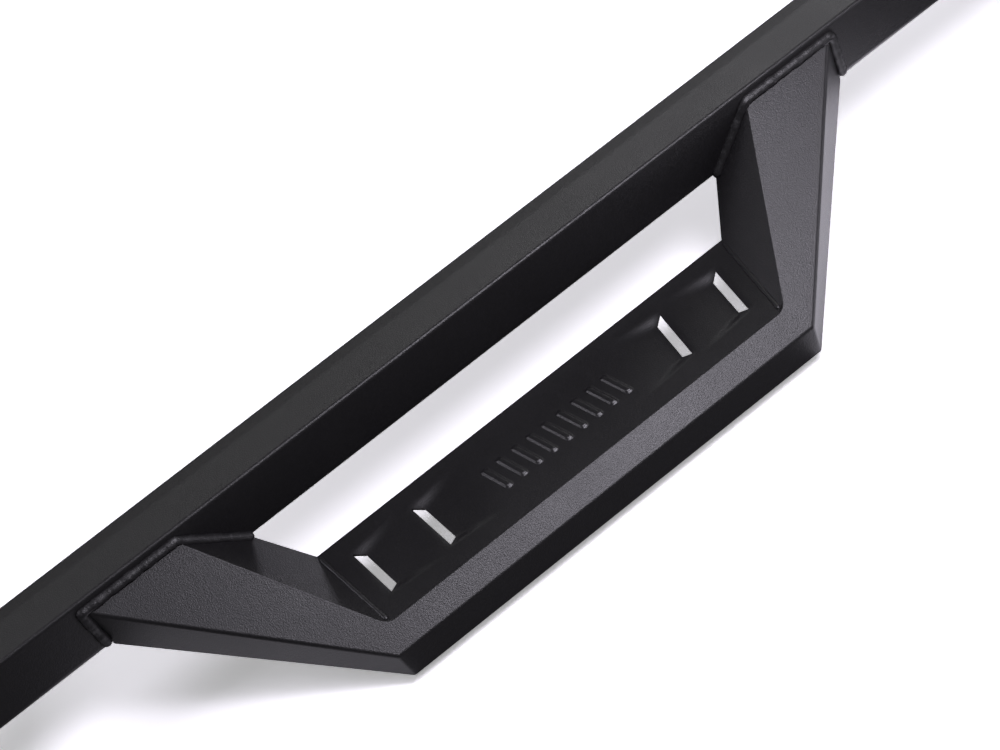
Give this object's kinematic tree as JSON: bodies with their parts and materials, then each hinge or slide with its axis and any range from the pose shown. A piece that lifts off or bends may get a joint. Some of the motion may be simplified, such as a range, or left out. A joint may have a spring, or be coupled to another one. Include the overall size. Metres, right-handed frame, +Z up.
{
  "type": "running board",
  "caption": "Side step bar: square tube rail with drop-down welded steps, louvred step plates, end caps and bolt-on sill brackets.",
  "frame": {"origin": "centre of the middle bracket's slot pattern, on the face that bolts to the vehicle", "axes": "+X along the rail, +Y towards the vehicle, square to the bracket pads, +Z up"},
  "size_m": [2.226, 0.2737, 0.2462],
  "materials": {
    "powder_coat": "black powder coat, fine texture, satin",
    "zinc_plate": "bright zinc plate, satin",
    "cap_plastic": "moulded black, fine grain"
  },
  "bodies": {
    "root": {"main_rail": "powder_coat", "rear_end_cap": "cap_plastic", "front_end_cap": "cap_plastic", "rear_step_rear_leg": "powder_coat", "rear_step_front_leg": "powder_coat", "rear_step_bar": "powder_coat", "rear_step_plate": "powder_coat", "rear_step_rail_welds": "powder_coat", "rear_step_plate_welds": "powder_coat", "front_step_rear_leg": "powder_coat", "front_step_front_leg": "powder_coat", "front_step_bar": "powder_coat", "front_step_plate": "powder_coat", "front_step_rail_welds": "powder_coat", "front_step_plate_welds": "powder_coat", "rear_bracket": "powder_coat", "rear_bracket_gusset": "powder_coat", "rear_nut_plate": "zinc_plate", "middle_bracket": "powder_coat", "middle_bracket_gusset": "powder_coat", "middle_nut_plate": "zinc_plate", "front_bracket": "powder_coat", "front_bracket_gusset": "powder_coat", "front_nut_plate": "zinc_plate", "rail_bolts": "zinc_plate", "washers": "zinc_plate", "lock_washers": "zinc_plate"}
  },
  "joints": []
}
